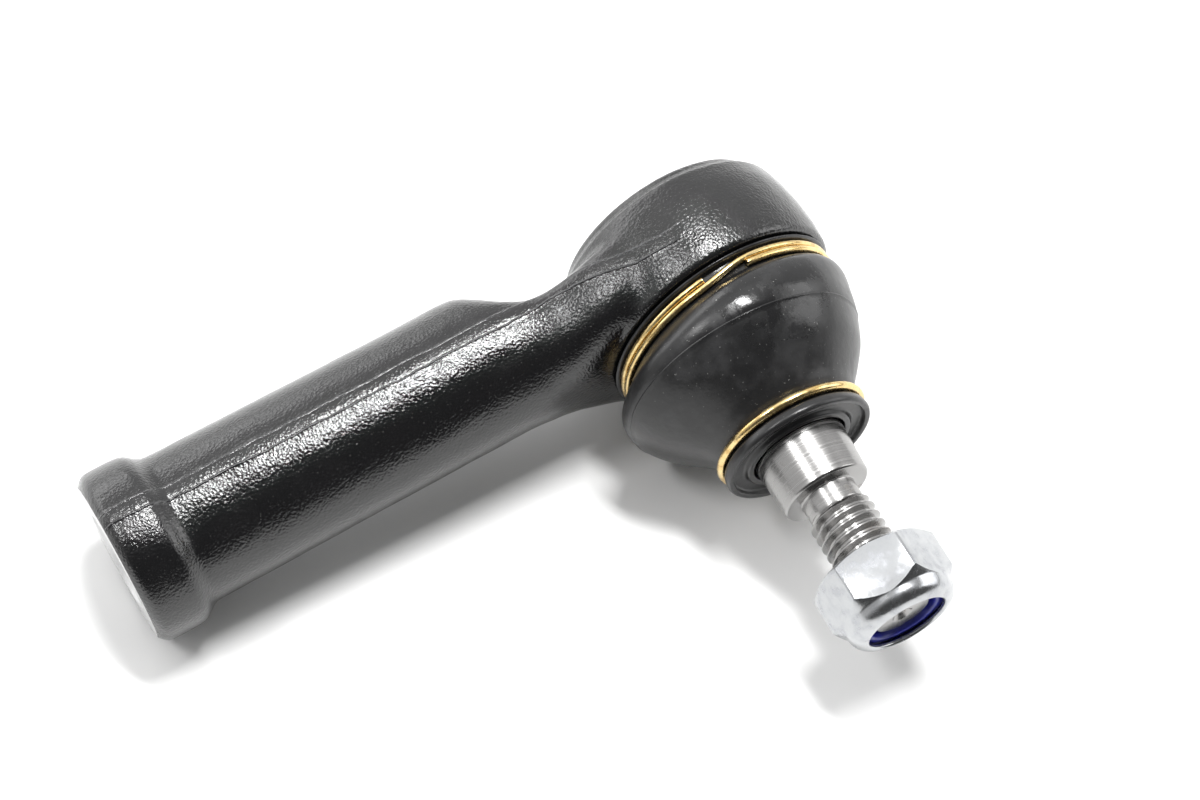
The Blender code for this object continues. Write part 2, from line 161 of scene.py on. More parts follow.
def threadBar(shape):
    # a solid bar with a right-hand thread on it, made by spinning one pitch of its outline up a helix
    pitch, root, crest = shape["pitch"], shape["rootRadius"], shape["crestRadius"]
    flank = (crest - root) * 0.577
    flat = pitch * 0.14
    steps = shape["steps"]
    start = shape["start"] - pitch * 1.5
    turns = int((shape["end"] - start) / pitch) + 2
    outline = [(root, 0), (root, pitch - flat - 2 * flank), (crest, pitch - flat - flank),
               (crest, pitch - flank), (root, pitch)]
    bm = bmesh.new()
    verts = [bm.verts.new((x * mm, 0, (start + z) * mm)) for x, z in outline]
    edges = [bm.edges.new(pair) for pair in zip(verts, verts[1:])]
    bmesh.ops.spin(bm, geom=verts + edges, cent=(0, 0, 0), axis=(0, 0, 1), dvec=(0, 0, pitch * mm / steps),
                   angle=2 * pi * turns, steps=steps * turns, use_merge=False)
    bmesh.ops.remove_doubles(bm, verts=bm.verts, dist=1e-6)
    middle = (start + turns * pitch / 2) * mm
    rims = [edge for edge in bm.edges if edge.is_boundary]
    for low in (True, False):
        rim = [edge for edge in rims if (edge.verts[0].co.z < middle) == low]
        level = sum(edge.verts[0].co.z for edge in rim) / len(rim)
        made = bmesh.ops.extrude_edge_only(bm, edges=rim)["geom"]
        tips = [item for item in made if isinstance(item, bmesh.types.BMVert)]
        bmesh.ops.pointmerge(bm, verts=tips, merge_co=(0, 0, level))
    bmesh.ops.recalc_face_normals(bm, faces=bm.faces)
    return bm


# material tools

def addNode(tree, kind, inputs=None, **settings):
    node = tree.nodes.new("ShaderNode" + kind)
    for key, value in settings.items():
        setattr(node, key, value)
    for key, value in (inputs or {}).items():
        if isinstance(value, bpy.types.NodeSocket):
            tree.links.new(value, node.inputs[key])
        else:
            node.inputs[key].default_value = value
    return node


def math(tree, operation, *values):
    return addNode(tree, "Math", dict(enumerate(values)), operation=operation).outputs[0]


def fade(tree, value, low, high, bottom=0.0, top=1.0):
    inputs = {"Value": value, "From Min": low, "From Max": high, "To Min": bottom, "To Max": top}
    return addNode(tree, "MapRange", inputs, interpolation_type="SMOOTHSTEP").outputs["Result"]


def mixColour(tree, mask, first, second):
    node = addNode(tree, "Mix", data_type="RGBA")
    for index, value in ((0, mask), (6, first), (7, second)):
        if isinstance(value, bpy.types.NodeSocket):
            tree.links.new(value, node.inputs[index])
        else:
            node.inputs[index].default_value = value if index == 0 else (*value, 1)
    return node.outputs[2]


def noiseNode(tree, vector, size, detail=3.0, rough=0.55):
    # size is the width of a grain in mm
    inputs = {"Vector": vector, "Scale": 1000 / size, "Detail": detail, "Roughness": rough}
    return addNode(tree, "TexNoise", inputs).outputs["Fac"]


def newGroup(name, inputs, outputs):
    tree = bpy.data.node_groups.new(name, "ShaderNodeTree")
    for label, value in inputs.items():
        kind = "NodeSocketVector" if value is None else "NodeSocketFloat"
        socket = tree.interface.new_socket(name=label, in_out="INPUT", socket_type=kind)
        if value is not None:
            socket.default_value = value
    for label in outputs:
        tree.interface.new_socket(name=label, in_out="OUTPUT", socket_type="NodeSocketFloat")
    source = tree.nodes.new("NodeGroupInput").outputs
    target = tree.nodes.new("NodeGroupOutput").inputs
    return tree, source, target


def castGrainGroup():
    # orange-peel skin: soft lumps with a finer crackle over them
    tree, source, target = newGroup("castGrain", {"Vector": None, "Size": 0.6, "Crackle": 0.5},
                                    ["Height", "Pits"])
    scale = math(tree, "DIVIDE", 1000.0, source["Size"])
    lumps = addNode(tree, "TexNoise", {"Vector": source["Vector"], "Scale": scale, "Detail": 3.0,
                                       "Roughness": 0.6, "Distortion": 0.4}).outputs["Fac"]
    crackle = addNode(tree, "TexVoronoi", {"Vector": source["Vector"], "Scale": scale}).outputs["Distance"]
    height = math(tree, "MULTIPLY_ADD", crackle, source["Crackle"], lumps)
    tree.links.new(height, target["Height"])
    tree.links.new(fade(tree, lumps, 0.62, 0.75), target["Pits"])
    return tree


def turnedLinesGroup():
    # fine rings left by a lathe or a grinder, round the z axis of the vector
    tree, source, target = newGroup("turnedLines", {"Vector": None, "Size": 0.1}, ["Height", "Tone"])
    split = addNode(tree, "SeparateXYZ", {"Vector": source["Vector"]}).outputs
    scale = math(tree, "DIVIDE", 1000.0, source["Size"])
    fine = addNode(tree, "TexNoise", {"W": split["Z"], "Scale": scale, "Detail": 2.0}, noise_dimensions="1D")
    coarse = addNode(tree, "TexNoise", {"W": split["Z"], "Scale": math(tree, "DIVIDE", scale, 7.0),
                                        "Detail": 1.0}, noise_dimensions="1D")
    height = math(tree, "MULTIPLY_ADD", coarse.outputs["Fac"], 0.5, fine.outputs["Fac"])
    tree.links.new(height, target["Height"])
    tree.links.new(coarse.outputs["Fac"], target["Tone"])
    return tree


def smudgeGroup():
    # patches of oil, handling marks or uneven finish
    tree, source, target = newGroup("smudge", {"Vector": None, "Size": 6.0, "Amount": 0.5}, ["Mask"])
    scale = math(tree, "DIVIDE", 1000.0, source["Size"])
    patches = addNode(tree, "TexNoise", {"Vector": source["Vector"], "Scale": scale, "Detail": 4.0,
                                         "Roughness": 0.6, "Distortion": 0.8}).outputs["Fac"]
    edge = math(tree, "SUBTRACT", 0.72, math(tree, "MULTIPLY", source["Amount"], 0.3))
    tree.links.new(fade(tree, patches, edge, math(tree, "ADD", edge, 0.08)), target["Mask"])
    return tree


def dustGroup():
    # specks and a thin film that settle on faces that look up
    tree, source, target = newGroup("dust", {"Vector": None, "Size": 0.25, "Amount": 0.5}, ["Mask"])
    scale = math(tree, "DIVIDE", 1000.0, source["Size"])
    specks = addNode(tree, "TexNoise", {"Vector": source["Vector"], "Scale": scale,
                                        "Detail": 1.0}).outputs["Fac"]
    normal = addNode(tree, "NewGeometry").outputs["Normal"]
    upward = fade(tree, addNode(tree, "SeparateXYZ", {"Vector": normal}).outputs["Z"], 0.1, 0.9)
    mask = math(tree, "MULTIPLY", fade(tree, specks, 0.72, 0.8), upward)
    tree.links.new(math(tree, "MULTIPLY", mask, source["Amount"]), target["Mask"])
    return tree


groups = {"castGrain": castGrainGroup(), "turnedLines": turnedLinesGroup(),
          "smudge": smudgeGroup(), "dust": dustGroup()}


def newMaterial(name, **sockets):
    material = bpy.data.materials.new(name)
    material.use_nodes = True
    tree = material.node_tree
    shader = tree.nodes["Principled BSDF"]
    for key, value in sockets.items():
        shader.inputs[key.replace("_", " ")].default_value = value
    place = addNode(tree, "TexCoord").outputs["Object"]
    return material, tree, shader, place


def useGroup(tree, name, **inputs):
    node = addNode(tree, "Group", node_tree=groups[name])
    for key, value in inputs.items():
        if isinstance(value, bpy.types.NodeSocket):
            tree.links.new(value, node.inputs[key])
        else:
            node.inputs[key].default_value = value
    return node.outputs


def localVector(tree, place, axisFrame):
    # turns the object's coordinates so that z runs along the piece's own axis
    back = axisFrame.inverted()
    inputs = {"Vector": place, "Location": back.translation, "Rotation": back.to_euler()}
    return addNode(tree, "Mapping", inputs).outputs["Vector"]


def setBump(tree, shader, height, depth, after=None):
    # depth in mm
    inputs = {"Height": height, "Distance": depth * mm, "Strength": 1.0}
    if after is not None:
        inputs["Normal"] = after
    normal = addNode(tree, "Bump", inputs).outputs["Normal"]
    tree.links.new(normal, shader.inputs["Normal"])
    return normal


print("materials")
coat = {
    "colour": (0.006, 0.006, 0.0065),
    "pitColour": (0.006, 0.006, 0.006),
    # a lighter grey painted on the flash lines: a painted highlight along the ridges
    "paintedRidgeHighlight": (0.05, 0.05, 0.052),
    "dustColour": (0.3, 0.29, 0.27),
    "grainSize": 0.44,
    "grainDepth": 0.065,
    "fineSize": 0.2,
    "fineDepth": 0.006,
    "roughness": (0.1, 0.16),
    "ridgeHalfWidth": 1.05,
}
shankAxisY = ballCentre.y + shankOffset * mm


def coatMaterial():
    material, tree, shader, place = newMaterial("blackCoat", Metallic=0.0, Specular_IOR_Level=0.8)
    grain = useGroup(tree, "castGrain", Vector=place, Size=coat["grainSize"], Crackle=0.6)
    patch = useGroup(tree, "smudge", Vector=place, Size=9.0, Amount=0.7)["Mask"]
    dust = useGroup(tree, "dust", Vector=place, Size=0.22, Amount=0.35)["Mask"]
    fine = noiseNode(tree, place, coat["fineSize"], 2.0)
    split = addNode(tree, "SeparateXYZ", {"Vector": place}).outputs
    # two fine flash lines edge the parting band, which drifts to the head's middle and fades there
    middle = fade(tree, split["X"], ballCentre.x - 25 * mm, ballCentre.x - 4 * mm,
                  shankAxisY, shankAxisY - 5 * mm)
    seen = fade(tree, split["X"], ballCentre.x - 9 * mm, ballCentre.x + 1 * mm, 1.0, 0.0)
    offset = math(tree, "ABSOLUTE", math(tree, "SUBTRACT", split["Y"], middle))
    wander = math(tree, "MULTIPLY", math(tree, "SUBTRACT", noiseNode(tree, place, 5.0), 0.5), 0.9 * mm)
    away = math(tree, "ABSOLUTE", math(tree, "SUBTRACT", math(tree, "ADD", offset, wander),
                                       coat["ridgeHalfWidth"] * mm))
    ridge = math(tree, "MULTIPLY", fade(tree, away, 0.0, 0.2 * mm, 1.0, 0.0), seen)
    rough = fade(tree, noiseNode(tree, place, 2.5), 0.3, 0.7, *coat["roughness"])
    rough = math(tree, "MULTIPLY_ADD", patch, 0.08, rough)
    tree.links.new(rough, shader.inputs["Roughness"])
    tone = mixColour(tree, grain["Pits"], coat["colour"], coat["pitColour"])
    # the flash lines are painted lighter than the coat: a painted highlight along the ridges
    tone = mixColour(tree, math(tree, "MULTIPLY", ridge, 0.5), tone, coat["paintedRidgeHighlight"])
    tone = mixColour(tree, dust, tone, coat["dustColour"])
    tree.links.new(tone, shader.inputs["Base Color"])
    first = setBump(tree, shader, ridge, 0.07)
    second = setBump(tree, shader, grain["Height"], coat["grainDepth"], first)
    setBump(tree, shader, fine, coat["fineDepth"], second)
    return material


def machinedMaterial(name, axisFrame, colour, roughness, lineSize, lineDepth, smudges=0.4, smudgeSize=4.0,
                     stain=(0.2, 0.19, 0.18)):
    material, tree, shader, place = newMaterial(name, Metallic=1.0)
    local = localVector(tree, place, axisFrame)
    lines = useGroup(tree, "turnedLines", Vector=local, Size=lineSize)
    smudge = useGroup(tree, "smudge", Vector=place, Size=smudgeSize, Amount=smudges)["Mask"]
    tone = fade(tree, lines["Tone"], 0.3, 0.7, 0.94, 1.0)
    shade = addNode(tree, "HueSaturation", {"Color": (*colour, 1), "Value": tone}).outputs["Color"]
    stained = mixColour(tree, math(tree, "MULTIPLY", smudge, 0.5), shade, stain)
    tree.links.new(stained, shader.inputs["Base Color"])
    rough = fade(tree, lines["Tone"], 0.25, 0.75, *roughness)
    tree.links.new(math(tree, "MULTIPLY_ADD", smudge, 0.14, rough), shader.inputs["Roughness"])
    setBump(tree, shader, lines["Height"], lineDepth)
    return material


rubber = {
    "colour": (0.013, 0.013, 0.0135),
    "bloomColour": (0.03, 0.03, 0.031),
    "oilColour": (0.006, 0.006, 0.006),
    "dustColour": (0.25, 0.25, 0.24),
    "roughness": (0.3, 0.4),
    "oilRoughness": 0.15,
}


def rubberMaterial():
    material, tree, shader, place = newMaterial("dustBootRubber", Metallic=0.0)
    bloom = fade(tree, noiseNode(tree, place, 7.0, 4.0), 0.45, 0.7)
    oil = useGroup(tree, "smudge", Vector=place, Size=4.5, Amount=0.35)["Mask"]
    dust = useGroup(tree, "dust", Vector=place, Size=0.3, Amount=0.8)["Mask"]
    # oil sits mostly on the side that was handled, under the big ring
    handled = addNode(tree, "VectorMath", {0: place, 1: ballCentre + Vector((3, -10, 19)) * mm},
                      operation="DISTANCE").outputs["Value"]
    film = math(tree, "MULTIPLY", fade(tree, noiseNode(tree, place, 3.2, 5.0, 0.65), 0.44, 0.5),
                fade(tree, handled, 6 * mm, 12 * mm, 1.0, 0.0))
    oil = math(tree, "MULTIPLY", oil, fade(tree, handled, 5 * mm, 14 * mm, 1.0, 0.15))
    tone = mixColour(tree, bloom, rubber["colour"], rubber["bloomColour"])
    tone = mixColour(tree, oil, tone, rubber["oilColour"])
    tone = mixColour(tree, dust, tone, rubber["dustColour"])
    tree.links.new(tone, shader.inputs["Base Color"])
    rough = fade(tree, bloom, 0.0, 1.0, *rubber["roughness"])
    shine = math(tree, "MAXIMUM", film, oil)
    rough = addNode(tree, "Mix", {0: shine, 2: rough, 3: rubber["oilRoughness"]}).outputs[0]
    tree.links.new(rough, shader.inputs["Roughness"])
    skin = setBump(tree, shader, noiseNode(tree, place, 1.6, 4.0), 0.05)
    setBump(tree, shader, noiseNode(tree, place, 0.12, 2.0), 0.006, skin)
    return material


def wireMaterial():
    # yellow passivated wire with brown blotches
    material, tree, shader, place = newMaterial("goldWire", Metallic=1.0)
    blotch = useGroup(tree, "smudge", Vector=place, Size=2.5, Amount=0.6)["Mask"]
    tone = fade(tree, noiseNode(tree, place, 3.0), 0.3, 0.7)
    colour = mixColour(tree, tone, (0.72, 0.5, 0.2), (0.85, 0.67, 0.34))
    colour = mixColour(tree, math(tree, "MULTIPLY", blotch, 0.45), colour, (0.38, 0.22, 0.07))
    tree.links.new(colour, shader.inputs["Base Color"])
    rough = fade(tree, noiseNode(tree, place, 0.8), 0.3, 0.7, 0.16, 0.3)
    tree.links.new(rough, shader.inputs["Roughness"])
    setBump(tree, shader, noiseNode(tree, place, 0.35, 3.0), 0.012)
    return material


def zincMaterial():
    # bright plate over a cold-headed nut: faint ripples and dull patches
    material, tree, shader, place = newMaterial("zincPlate", Metallic=1.0)
    patch = fade(tree, noiseNode(tree, place, 2.2, 4.0), 0.4, 0.66)
    colour = mixColour(tree, patch, (0.5, 0.51, 0.52), (0.43, 0.44, 0.46))
    stain = useGroup(tree, "smudge", Vector=place, Size=3.0, Amount=0.2)["Mask"]
    colour = mixColour(tree, math(tree, "MULTIPLY", stain, 0.4), colour, (0.5, 0.46, 0.42))
    tree.links.new(colour, shader.inputs["Base Color"])
    tree.links.new(fade(tree, patch, 0.0, 1.0, 0.2, 0.28), shader.inputs["Roughness"])
    ripple = setBump(tree, shader, noiseNode(tree, place, 2.0, 2.0), 0.03)
    setBump(tree, shader, noiseNode(tree, place, 0.25, 2.0), 0.006, ripple)
    return material


def plasticMaterial(name, colour, second, roughness, grain, greasy=0.0):
    material, tree, shader, place = newMaterial(name, Metallic=0.0)
    tone = mixColour(tree, fade(tree, noiseNode(tree, place, 2.0), 0.35, 0.65), colour, second)
    grease = useGroup(tree, "smudge", Vector=place, Size=5.0, Amount=greasy)["Mask"]
    tone = mixColour(tree, math(tree, "MULTIPLY", grease, 0.5), tone, (0.35, 0.27, 0.16))
    tree.links.new(tone, shader.inputs["Base Color"])
    tree.links.new(math(tree, "MULTIPLY_ADD", grease, -0.2, roughness), shader.inputs["Roughness"])
    setBump(tree, shader, noiseNode(tree, place, grain), 0.01)
    return material


shankFrame = Matrix.Translation((0, shankAxisY, ballCentre.z)) @ Matrix.Rotation(pi / 2, 4, "Y")
finishes = {
    "coat": coatMaterial(),
    "bareSteel": machinedMaterial("bareSteel", shankFrame, (0.6, 0.6, 0.6), (0.3, 0.42), 0.16, 0.01, 0.2),
    "boredSteel": machinedMaterial("boredSteel", headFrame, (0.4, 0.39, 0.37), (0.3, 0.45), 0.2, 0.01, 0.5),
    "groundSteel": machinedMaterial("groundSteel", studFrame, (0.36, 0.355, 0.35), (0.2, 0.28), 0.05, 0.0004,
                                    0.35, 5.0, (0.25, 0.23, 0.21)),
    "plateSteel": machinedMaterial("plateSteel", headFrame, (0.3, 0.31, 0.32), (0.36, 0.5), 0.5, 0.004, 0.5),
    "springSteel": machinedMaterial("springSteel", headFrame, (0.42, 0.43, 0.45), (0.3, 0.4), 0.4, 0.004),
    "rubber": rubberMaterial(),
    "wire": wireMaterial(),
    "zinc": zincMaterial(),
    "blueNylon": plasticMaterial("blueNylon", (0.012, 0.018, 0.26), (0.02, 0.028, 0.34), 0.34, 0.4),
    "seatAcetal": plasticMaterial("seatAcetal", (0.76, 0.75, 0.7), (0.68, 0.66, 0.6), 0.45, 0.5, 0.7),
    "padAcetal": plasticMaterial("padAcetal", (0.7, 0.69, 0.64), (0.6, 0.58, 0.52), 0.45, 0.5, 0.7),
}


def finishPiece(piece, body, slot, finish, *nodes):
    if not piece.data.materials:
        piece.data.materials.append(finishes[finish])
    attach(piece, body)
    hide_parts(*nodes)
    print(f"{piece.name}: {len(piece.data.polygons)} faces")


# housing

housing = {
    "reach": 94.5,                # from the head's axis to the shank's open end
    "collarRadius": 13.35,
    "collarLength": 8.6,
    "shankRadius": 11.5,
    "voxel": 0.4,
    "neckRounds": 40,
    "forgedWaves": 0.07,          # unevenness of the forging
    "bandHeight": 0.16,           # parting band that stands proud
    "bandHalfWidth": 1.05,
    "chamfer": 0.3,
    "socketRadius": 6.4,
    "socketDepth": 58.0,
}
# x, reach to the back, to the front and to the sides, squareness of the front half
neckStations = [
    (-36.0, 11.5, 11.3, 11.3, 2.0), (-33.5, 10.9, 11.3, 11.3, 2.0), (-31.0, 8.9, 11.3, 11.2, 2.1),
    (-28.5, 6.2, 11.3, 11.2, 2.3), (-26.0, 3.7, 11.2, 11.3, 2.6), (-23.5, 2.1, 11.2, 11.7, 3.0),
    (-20.5, 1.5, 11.2, 12.9, 3.6), (-17.0, 1.8, 11.1, 14.7, 4.2), (-13.0, 2.6, 11.0, 16.0, 4.5),
    (-8.0, 3.2, 10.8, 16.8, 4.5),
]


def rounded(value, squareness):
    return copysign(abs(value) ** (2 / squareness), value)


def shankLoft():
    end = -housing["reach"]
    collar, shank = housing["collarRadius"], housing["shankRadius"]
    shoulder = end + housing["collarLength"]
    plain = [(end - 1.2, collar - 2.6), (end, collar - 1.3), (end + 0.8, collar - 0.4), (end + 2.0, collar),
             (shoulder - 2.4, collar), (shoulder - 0.9, collar - 0.4), (shoulder + 0.8, shank + 0.2),
             (shoulder + 3.0, shank), (-60.0, shank - 0.1), (-44.0, shank - 0.15)]
    stations = [(x, radius, radius, radius, 2.0) for x, radius in plain] + neckStations
    bm = bmesh.new()
    before = None
    for x, back, front, side, squareness in smoothCurve(stations, 5):
        ring = bmesh.ops.create_circle(bm, segments=96, radius=1.0)["verts"]
        for vert in ring:
            across, along = vert.co.x, vert.co.y
            reach, power = (front, squareness) if along > 0 else (back, 2.0)
            deep = reach * rounded(along, power) - shankOffset
            vert.co = Vector((x, side * rounded(across, power), deep)) * mm
        edges = list({edge for vert in ring for edge in vert.link_edges})
        if before:
            bmesh.ops.bridge_loops(bm, edges=before + edges)
            before = edges
        else:
            before = firstRing = edges
    bmesh.ops.holes_fill(bm, edges=firstRing + before, sides=96)
    bmesh.ops.recalc_face_normals(bm, faces=bm.faces)
    return bm


def headBlank():
    # outline of the head without its hollow
    wall = smoothCurve([(18.7, -11.6), (19.45, -8.2), (19.8, -3.7), (19.7, 0.1), (19.35, 2.65)], 5)
    outline = [(0, -14.0), (16.5, -14.0), (17.2, -13.6), (17.4, -12.5), (18.4, -11.95)]
    outline += [tuple(point) for point in wall]
    outline += [(18.95, 3.05), (15.5, 3.05), (15.5, 7.5), (15.0, 8.0), (0, 8.0)]
    return turn(outline, 144, closed=False)


def fillNeck(piece):
    # rounds the corner where the neck runs into the head, as a forging die does
    bm = bmesh.new()
    bm.from_mesh(piece.data)
    back = headFrame.inverted()
    near = []
    for vert in bm.verts:
        local = (back @ vert.co) / mm
        if -32 < local.x < -5 and -11.0 < local.z < 2.3:
            near.append(vert)
    for step in range(housing["neckRounds"]):
        bmesh.ops.smooth_vert(bm, verts=near, factor=0.5, use_axis_x=True, use_axis_y=True, use_axis_z=True)
    bm.to_mesh(piece.data)
    bm.free()


def shapeForging(piece):
    # parting band along the shank and neck, and the slow waves of a forged skin
    band = housing["bandHeight"] * mm
    centre = headFrame.inverted()
    normals = [vertex.normal.copy() for vertex in piece.data.vertices]
    for vertex, normal in zip(piece.data.vertices, normals):
        x, y = vertex.co.xy
        depth = (centre @ vertex.co).z / mm
        waves = noise.noise(vertex.co * 170) + 0.5 * noise.noise(vertex.co * 420)
        lift = waves * housing["forgedWaves"] * mm * (0.35 if depth < -12.2 or depth > 2.6 else 1.0)
        across = (x - ballCentre.x) / mm
        middle = shankAxisY / mm - 5 * smoothStep(-25, -4, across)
        offset = abs(y / mm - middle) + 0.35 * noise.noise(Vector((x * 160, 0, 7)))
        along = 1 - smoothStep(-9, 1, across)
        on = 1 - smoothStep(housing["bandHalfWidth"] - 0.3, housing["bandHalfWidth"] + 0.35, offset)
        lift += band * on * along
        moved = vertex.co + normal * lift
        # the forged skin is held to the frame's box
        vertex.co = [min(max(value, low), high) for value, low, high in zip(moved, *cadBox)]


def buildHousing():
    shank = makePiece("forgedHousing", shankLoft(), headFrame)
    head = makePiece("headBlank", headBlank(), headFrame)
    bm = bmesh.new()
    bm.from_mesh(shank.data)
    bm.from_mesh(head.data)
    bm.to_mesh(shank.data)
    bm.free()
    bpy.data.objects.remove(head)
    skin = shank.modifiers.new("skin", "REMESH")
    skin.mode = "VOXEL"
    skin.voxel_size = housing["voxel"] * mm
    soft = shank.modifiers.new("soft", "SMOOTH")
    soft.factor = 0.5
    soft.iterations = 6
    applyModifiers(shank)
    fillNeck(shank)
    shapeForging(shank)
    shank.data.materials.clear()
    shank.data.materials.append(finishes["coat"])
    return shank


def tool(name, outline, steps, place, finish):
    made = makePiece(name, turn(outline, steps, closed=False), place)
    made.data.materials.append(finishes[finish])
    return made


def machineHousing(piece):
    end = -housing["reach"]
    collar, chamfer = housing["collarRadius"], housing["chamfer"]
    place = headFrame @ Matrix.Translation((0, 0, -shankOffset * mm)) @ Matrix.Rotation(pi / 2, 4, "Y")
    # facing and chamfering tool for the shank's open end
    facing = [(0, end), (collar - chamfer, end), (collar + 0.5, end + 0.7 * chamfer + 0.35),
              (collar + 3, end + 0.7 * chamfer + 0.35), (collar + 3, end - 4), (0, end - 4)]
    combine(piece, tool("facing", facing, 144, place, "bareSteel"), "DIFFERENCE")
    # the shank's socket: a plain drill with a countersink
    radius, depth = housing["socketRadius"], housing["socketDepth"]
    drill = [(0, end - 1), (radius + 2.2, end - 1), (radius, end + 1.2), (radius, end + depth),
             (0, end + depth + 3.6)]
    combine(piece, tool("drill", drill, 96, place, "bareSteel"), "DIFFERENCE")
    # hollow of the head, and the crimped mouth over the closing plate
    bore = [(0, 9), (10.65, 9), (10.2, 8.0), (8.8, 4.9), (10.5, 4.85), (13.2, 1.6), (13.2, -11.5),
            (15.6, -11.5), (15.6, -13.5), (14.6, -13.55), (14.8, -15), (0, -15)]
    combine(piece, tool("bore", bore, 144, headFrame, "boredSteel"), "DIFFERENCE")


print("housing")
forged = buildHousing()
machineHousing(forged)
forged.data.shade_smooth()
forged.data.set_sharp_from_angle(angle=radians(40))
finishPiece(forged, "housing", "black_coat", "coat", "housing")

print("closing plate")
plate = {
    "radius": 15.4,
    "back": -13.2,
    "thickness": 1.5,
    "dishRadius": 8.0,
    "dishDepth": 0.35,
}


def plateOutline():
    radius, dish = plate["radius"], plate["dishRadius"]
    back, front = plate["back"], plate["back"] + plate["thickness"]
    dishBack, dishFront = back + plate["dishDepth"], front + plate["dishDepth"]
    return roundCorners([(0, dishBack), (dish, dishBack, 0.8), (dish + 1.6, back, 0.8), (radius, back, 0.25),
                         (radius, front, 0.2), (dish + 2.4, front, 0.8), (dish + 0.8, dishFront, 0.8),
                         (0, dishFront)], False)


closingPlate = makePiece("crimpedPlate", turn(plateOutline(), 144, closed=False), headFrame)
finishPiece(closingPlate, "housing", "plate_steel", "plateSteel", "closing_plate")

# boot

boot = {
    "steps": 180,
    "sag": 1.2,               # the belly hangs towards the shank
    "mouldLineZ": 13.3,
    "mouldLineRadius": 19.05,
    "mouldLineHeight": 0.09,
}
bellyOutside = [(18.3, 6.9), (19.1, 8.1), (19.6, 9.7), (19.6, 11.4), (19.1, 13.2), (18.1, 15.2), (16.8, 17.2),
                (15.2, 19.0), (13.7, 20.6), (12.4, 22.0), (11.5, 23.3)]
bellyInside = [(10.9, 21.0), (12.3, 19.6), (13.8, 18.0), (15.1, 16.4), (16.3, 14.6), (17.2, 13.0),
               (17.7, 11.3), (17.6, 9.8), (17.1, 8.5), (16.7, 7.8), (16.4, 7.2)]


def bootOutline():
    lip = roundCorners([(15.8, 3.35), (18.5, 3.35, 0.3), (18.72, 3.6, 0.15), (18.4, 3.9, 0.3),
                        (17.3, 4.0, 0.15), (17.3, 6.3, 0.3), (18.3, 6.9)], False)[1:-1]
    # the belly's points next to the mould line make way for the line's own small ridge
    line, edge, height = boot["mouldLineZ"], boot["mouldLineRadius"], boot["mouldLineHeight"]
    belly = [point for point in smoothCurve(bellyOutside, 5) if abs(point.y - line) > 0.35]
    split = next(i for i, point in enumerate(belly) if point.y > line)
    ridge = [(edge + 0.03, line - 0.16), (edge + height, line - 0.04), (edge + height - 0.02, line + 0.05),
             (edge - 0.08, line + 0.16)]
    belly[split:split] = [Vector(point) for point in ridge]
    neck = roundCorners([(11.5, 23.3), (10.75, 24.15, 0.4), (10.75, 25.85, 0.3), (11.67, 26.15, 0.25),
                         (11.87, 27.3, 0.3), (11.57, 27.8, 0.2), (10.87, 27.7, 0.15), (10.67, 26.9, 0.3),
                         (8.8, 26.9, 0.35), (8.4, 27.7, 0.25), (7.5, 27.7, 0.25), (7.5, 24.0, 0.5),
                         (9.4, 23.4, 0.8), (10.9, 21.0)], False)[1:-1]
    inside = smoothCurve(bellyInside, 3)
    bead = roundCorners([(16.4, 7.2), (15.8, 6.8, 0.3), (15.8, 3.35)], False)[1:]
    return lip + belly + neck + inside + bead


def buildBoot():
    bm = turn(bootOutline(), boot["steps"])
    for vert in bm.verts:
        height = vert.co.z / mm
        share = smoothStep(6.7, 13.0, height)
        sag = smoothStep(6.7, 11.0, height) * (1 - smoothStep(13, 23, height))
        loose = smoothStep(8, 11, height) * (1 - smoothStep(17, 22, height))
        bulge = 0.12 * noise.noise(vert.co * 110) * loose
        vert.co.xy *= 1 + bulge * mm / max(vert.co.xy.length, mm)
        vert.co = Matrix.Rotation(-studLean * share, 3, "Y") @ vert.co
        vert.co.x -= boot["sag"] * sag * mm
    piece = makePiece("dustBoot", bm, headFrame, sharp=50)
    piece.data.materials.append(finishes["rubber"])
    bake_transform(piece)
    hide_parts("boot")
    print(f"{piece.name}: {len(piece.data.polygons)} faces")


print("boot")
buildBoot()

# wire rings

upperRing = {"radius": 17.9, "wire": 0.5, "z": 5.15, "rise": 1.06, "turns": 1.94, "start": radians(105),
             "steps": 300}
lowerRing = {"radius": 11.51, "wire": 0.68, "z": 25.0, "rise": 0.0, "turns": 0.985, "start": radians(-86),
             "steps": 180}


def windRing(name, shape, place):
    curve = bpy.data.curves.new(name, "CURVE")
    curve.dimensions = "3D"
    curve.bevel_depth = shape["wire"] * mm
    curve.bevel_resolution = 6
    curve.use_fill_caps = True
    spline = curve.splines.new("POLY")
    spline.points.add(shape["steps"])
    for step, point in enumerate(spline.points):
        turns = shape["turns"] * step / shape["steps"]
        angle = shape["start"] + 2 * pi * turns
        across = smoothStep(shape["turns"] - 1.012, 1.012, turns)
        # the free ends spring out by a hair
        spring = 0.1 * (smoothStep(0.06, 0, turns) + smoothStep(shape["turns"] - 0.06, shape["turns"], turns))
        radius = shape["radius"] + (spring if shape["rise"] else 0)
        height = shape["z"] + shape["rise"] * (across - 0.5)
        point.co = (radius * cos(angle) * mm, radius * sin(angle) * mm, height * mm, 1)
    guide = bpy.data.objects.new(name + "Curve", curve)
    scene.collection.objects.link(guide)
    applied = bpy.data.meshes.new_from_object(guide)
    bpy.data.objects.remove(guide)
    bm = bmesh.new()
    bm.from_mesh(applied)
    bmesh.ops.remove_doubles(bm, verts=bm.verts, dist=1e-7)
    ends = [edge for edge in bm.edges if len(edge.link_faces) == 2 and edge.calc_face_angle() > radians(70)]
    bmesh.ops.bevel(bm, geom=ends, offset=0.1 * mm, segments=2, profile=0.5, affect="EDGES", material=-1)
    bmesh.ops.recalc_face_normals(bm, faces=bm.faces)
    return makePiece(name, bm, place)


